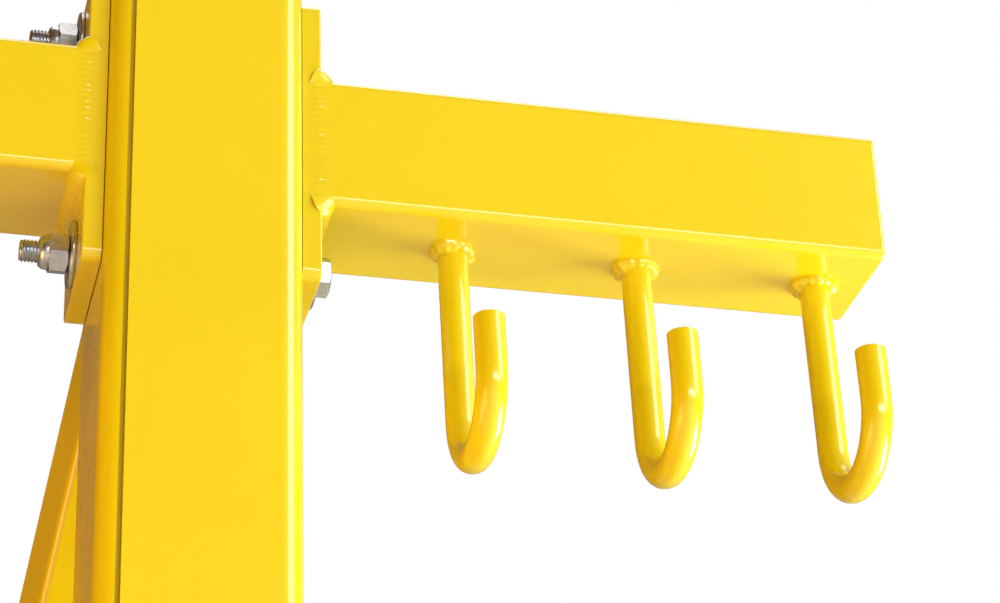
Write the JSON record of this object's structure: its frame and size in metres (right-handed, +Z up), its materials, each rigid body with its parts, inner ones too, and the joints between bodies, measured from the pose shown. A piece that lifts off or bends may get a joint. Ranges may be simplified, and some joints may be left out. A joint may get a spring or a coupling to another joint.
{
  "type": "engine hoist crane",
  "caption": "Wheeled hydraulic engine crane with a raised boom and load hook, folding legs, and cross arms with round-rod J-hooks bolted to the mast.",
  "frame": {"origin": "middle of the footprint, on the floor", "axes": "+Z up, +Y forward towards the boom tip and the legs' tips, +X to the operator's right"},
  "size_m": [0.735, 1.6, 2.3392],
  "materials": {
    "yellow_paint": "gloss powder coat",
    "zinc_steel": "bright zinc plate",
    "chrome_steel": "hard chrome, ground",
    "ram_paint": "satin black enamel",
    "forged_steel": "painted forging",
    "wheel_nylon": "moulded nylon",
    "grip_rubber": "ribbed grip"
  },
  "bodies": {
    "frame": {"arm_bolts": "zinc_steel", "arm_end_caps": "yellow_paint", "arm_flanges": "yellow_paint", "arm_hooks_left": "yellow_paint", "arm_hooks_right": "yellow_paint", "arm_nuts": "zinc_steel", "arm_tube_left": "yellow_paint", "arm_tube_right": "yellow_paint", "arm_washers": "zinc_steel", "base_bolts": "zinc_steel", "boom_pivot_bolt": "zinc_steel", "brace_feet": "yellow_paint", "brace_left": "yellow_paint", "brace_right": "yellow_paint", "caster_plates": "zinc_steel", "front_crossbeam": "yellow_paint", "leg_bracket_left": "yellow_paint", "leg_bracket_right": "yellow_paint", "leg_hinge_bolts": "zinc_steel", "mast_foot_plate": "yellow_paint", "mast_gussets": "yellow_paint", "mast_head": "yellow_paint", "mast_tube": "yellow_paint", "ram_bracket": "yellow_paint", "ram_foot_pin": "zinc_steel", "rear_crossbeam": "yellow_paint", "side_rails": "yellow_paint"},
    "boom": {"boom_tube": "yellow_paint", "boom_mouth_collar": "yellow_paint", "boom_pivot_sleeve": "zinc_steel", "boom_lugs": "yellow_paint", "ram_top_pin": "zinc_steel"},
    "extension": {"extension_tube": "yellow_paint", "extension_nose": "yellow_paint", "nose_pin": "zinc_steel"},
    "clamp_screw": {"boom_clamp_screw": "zinc_steel"},
    "yoke": {"hook_yoke": "forged_steel"},
    "hook": {"load_hook": "forged_steel"},
    "latch": {"hook_latch": "zinc_steel"},
    "ram": {"ram_base": "ram_paint", "ram_barrel": "ram_paint", "ram_gland": "ram_paint", "pump_barrel": "ram_paint"},
    "piston": {"piston_rod": "chrome_steel"},
    "handle": {"pump_socket": "ram_paint", "pump_handle": "grip_rubber"},
    "plunger": {"pump_plunger": "zinc_steel"},
    "release_valve": {"release_valve": "zinc_steel"},
    "leg_left": {"leg_tube_left": "yellow_paint", "leg_fork_left": "zinc_steel"},
    "leg_wheel_left": {"leg_wheel_left": "wheel_nylon"},
    "leg_pin_left": {"leg_lock_pin_left": "zinc_steel"},
    "caster_left": {"caster_fork_left": "zinc_steel"},
    "caster_wheel_left": {"caster_wheel_left": "wheel_nylon"},
    "leg_right": {"leg_tube_right": "yellow_paint", "leg_fork_right": "zinc_steel"},
    "leg_wheel_right": {"leg_wheel_right": "wheel_nylon"},
    "leg_pin_right": {"leg_lock_pin_right": "zinc_steel"},
    "caster_right": {"caster_fork_right": "zinc_steel"},
    "caster_wheel_right": {"caster_wheel_right": "wheel_nylon"}
  },
  "joints": [
    {"name": "boom_lift", "type": "hinge", "parent": "frame", "child": "boom", "pos_m": [0, -0.7145, 1.64], "axis": [1, 0, 0], "range_deg": [-37.24, 6.88]},
    {"name": "ram_tilt", "type": "hinge", "parent": "frame", "child": "ram", "pos_m": [0, -0.5845, 1.01], "axis": [1, 0, 0], "range_deg": [-13.26, 2.85]},
    {"name": "ram_extend", "type": "slide", "parent": "ram", "child": "piston", "axis": [0, 0.3561, 0.9344], "range_m": [-0.25836, 0.04933]},
    {"name": "boom_extension", "type": "slide", "parent": "boom", "child": "extension", "axis": [0, 0.8387, 0.5446], "range_m": [-0.2, 0.16]},
    {"name": "clamp_turn", "type": "hinge", "parent": "boom", "child": "clamp_screw", "pos_m": [0, 0.01013, 2.15828], "axis": [0, -0.5446, 0.8387], "range_deg": [-180, 180]},
    {"name": "hook_swing", "type": "hinge", "parent": "extension", "child": "yoke", "pos_m": [0, 0.32965, 2.31808], "axis": [1, 0, 0], "range_deg": [-10, 95]},
    {"name": "hook_swivel", "type": "hinge", "parent": "yoke", "child": "hook", "pos_m": [0, 0.32965, 2.21008], "axis": [0, 0, 1], "continuous": true},
    {"name": "hook_latch_open", "type": "hinge", "parent": "hook", "child": "latch", "pos_m": [0, 0.33409, 2.16504], "axis": [1, 0, 0], "range_deg": [-38, 0], "stiffness_Nm_per_rad": 0.05, "springref_deg": 28.65},
    {"name": "pump_stroke", "type": "hinge", "parent": "ram", "child": "handle", "pos_m": [0, -0.44243, 1.15491], "axis": [1, 0, 0], "range_deg": [-40, 0]},
    {"name": "plunger_travel", "type": "slide", "parent": "ram", "child": "plunger", "axis": [0, 0.3561, 0.9344], "range_m": [-0.0005, 0.0205]},
    {"name": "release_turn", "type": "hinge", "parent": "ram", "child": "release_valve", "pos_m": [0.0215, -0.53795, 1.04791], "axis": [1, 0, 0], "range_deg": [-180, 180]},
    {"name": "leg_fold_left", "type": "hinge", "parent": "frame", "child": "leg_left", "pos_m": [-0.3, -0.0745, 0.165], "axis": [1, 0, 0], "range_deg": [0, 90]},
    {"name": "leg_wheel_spin_left", "type": "hinge", "parent": "leg_left", "child": "leg_wheel_left", "pos_m": [-0.3, 0.7505, 0.05], "axis": [1, 0, 0], "continuous": true},
    {"name": "leg_pin_pull_left", "type": "slide", "parent": "frame", "child": "leg_pin_left", "axis": [-1, 0, 0], "range_m": [0, 0.1]},
    {"name": "caster_swivel_left", "type": "hinge", "parent": "frame", "child": "caster_left", "pos_m": [-0.235, -0.7145, 0], "axis": [0, 0, 1], "continuous": true},
    {"name": "caster_wheel_spin_left", "type": "hinge", "parent": "caster_left", "child": "caster_wheel_left", "pos_m": [-0.235, -0.7495, 0.05], "axis": [1, 0, 0], "continuous": true},
    {"name": "leg_fold_right", "type": "hinge", "parent": "frame", "child": "leg_right", "pos_m": [0.3, -0.0745, 0.165], "axis": [1, 0, 0], "range_deg": [0, 90]},
    {"name": "leg_wheel_spin_right", "type": "hinge", "parent": "leg_right", "child": "leg_wheel_right", "pos_m": [0.3, 0.7505, 0.05], "axis": [1, 0, 0], "continuous": true},
    {"name": "leg_pin_pull_right", "type": "slide", "parent": "frame", "child": "leg_pin_right", "axis": [1, 0, 0], "range_m": [0, 0.1]},
    {"name": "caster_swivel_right", "type": "hinge", "parent": "frame", "child": "caster_right", "pos_m": [0.235, -0.7145, 0], "axis": [0, 0, 1], "continuous": true},
    {"name": "caster_wheel_spin_right", "type": "hinge", "parent": "caster_right", "child": "caster_wheel_right", "pos_m": [0.235, -0.7495, 0.05], "axis": [1, 0, 0], "continuous": true}
  ],
  "couplings": [
    {"joint": "ram_tilt", "follows": "boom_lift", "ratio": 0.3425},
    {"joint": "ram_extend", "follows": "boom_lift", "m_per_rad": 0.3944},
    {"joint": "plunger_travel", "follows": "pump_stroke", "m_per_rad": -0.02743}
  ]
}
